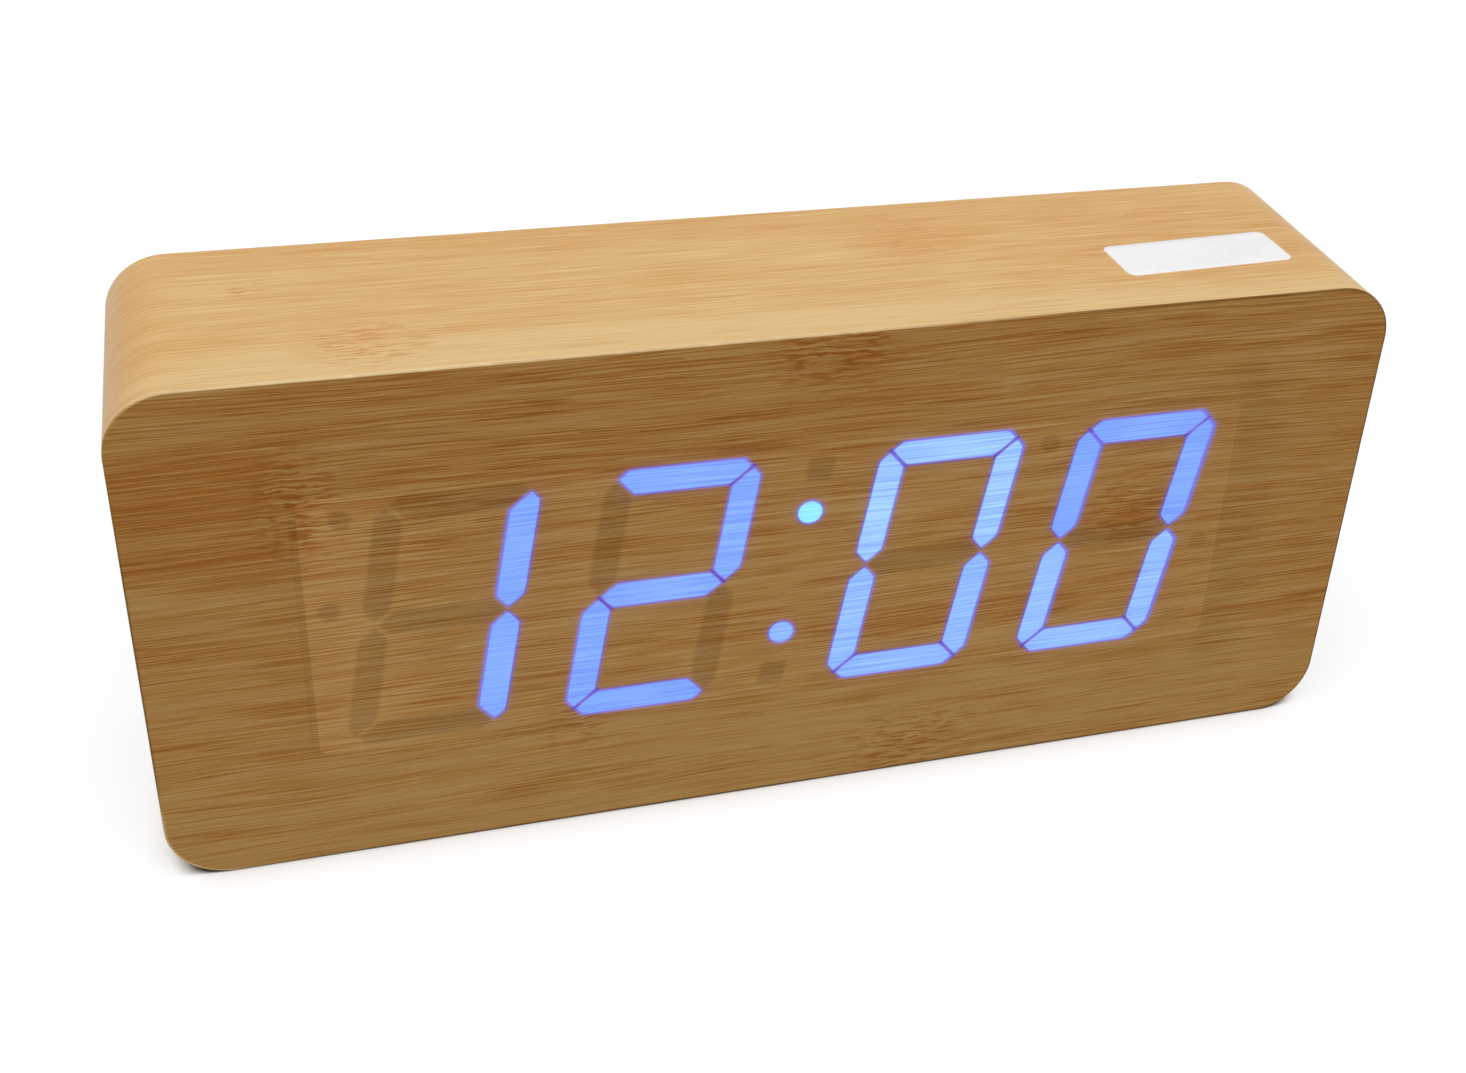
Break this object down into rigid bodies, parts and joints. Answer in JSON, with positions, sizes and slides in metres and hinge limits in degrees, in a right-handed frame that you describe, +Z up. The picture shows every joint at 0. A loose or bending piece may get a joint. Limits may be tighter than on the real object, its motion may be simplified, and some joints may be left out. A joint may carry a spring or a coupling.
{
  "type": "digital alarm clock",
  "caption": "Wood-look block clock whose blue seven-segment time glows through the front film, with a recessed rear cover holding buttons, a hinged battery door and a power socket.",
  "frame": {"origin": "centre of the underside, on the surface that the clock stands on", "axes": "+X along the width, to the right as the display is read; +Y from the display to the rear cover; +Z up"},
  "size_m": [0.21, 0.0466, 0.0912],
  "materials": {
    "fibreboard": "raw fibreboard",
    "wood_film": "satin bamboo-pattern film",
    "front_film": "satin bamboo-pattern film that lets light through",
    "label_paper": "plain white label",
    "white_plastic": "moulded reflector",
    "lit_resin": "clear resin, lit blue",
    "lit_colon": "clear resin, lit pale blue",
    "unlit_resin": "clear resin, unlit",
    "circuit_board": "green solder mask",
    "lamp_chip": "phosphor cap",
    "header_plastic": "moulded",
    "ribbon_sleeve": "flat cable",
    "black_epoxy": "moulded",
    "nickel": "nickel plated",
    "capacitor_sleeve": "shrunk sleeve",
    "bead_resin": "dipped",
    "button_plastic": "fine grain",
    "socket_plastic": "moulded",
    "cover_plastic": "spark-eroded grain",
    "cell_sleeve": "printed sleeve",
    "red_sleeve": "wire sleeve",
    "black_sleeve": "wire sleeve",
    "black_steel": "black zinc"
  },
  "bodies": {
    "case": {"case_core": "fibreboard", "wrap_film": "wood_film", "front_film": "front_film", "rear_film": "wood_film", "top_label": "label_paper", "display_housing": "white_plastic", "lit_bars": "lit_resin", "unlit_bars": "unlit_resin", "colon_dots": "lit_colon", "indicator_marks": "unlit_resin", "display_board": "circuit_board", "segment_leds": "lamp_chip", "display_header": "header_plastic", "ribbon_cable": "ribbon_sleeve", "main_board": "circuit_board", "main_header": "header_plastic", "clock_chip": "black_epoxy", "crystal": "nickel", "resistors": "black_epoxy", "capacitor": "capacitor_sleeve", "buzzer": "black_epoxy", "microphone": "nickel", "thermistor": "bead_resin", "key_switches": "black_epoxy", "power_socket": "socket_plastic", "socket_pin": "nickel", "rear_cover": "cover_plastic", "batteries": "cell_sleeve", "contact_plates": "nickel", "contact_springs": "nickel", "red_lead": "red_sleeve", "black_lead": "black_sleeve", "cover_screws": "black_steel", "board_screws": "nickel", "display_screws": "nickel"},
    "battery_door": {"battery_door": "cover_plastic"},
    "set_button": {"set_button": "button_plastic", "set_plunger": "button_plastic"},
    "up_button": {"up_button": "button_plastic", "up_plunger": "button_plastic"},
    "down_button": {"down_button": "button_plastic", "down_plunger": "button_plastic"}
  },
  "joints": [
    {"name": "set_press", "type": "slide", "parent": "case", "child": "set_button", "axis": [0, -1, 0], "range_m": [0, 0.0008], "stiffness_N_per_m": 1200},
    {"name": "up_press", "type": "slide", "parent": "case", "child": "up_button", "axis": [0, -1, 0], "range_m": [0, 0.0008], "stiffness_N_per_m": 1200},
    {"name": "down_press", "type": "slide", "parent": "case", "child": "down_button", "axis": [0, -1, 0], "range_m": [0, 0.0008], "stiffness_N_per_m": 1200},
    {"name": "battery_door_hinge", "type": "hinge", "parent": "case", "child": "battery_door", "pos_m": [0.04185, 0.02065, 0.068], "axis": [1, 0, 0], "range_deg": [0, 85]}
  ]
}
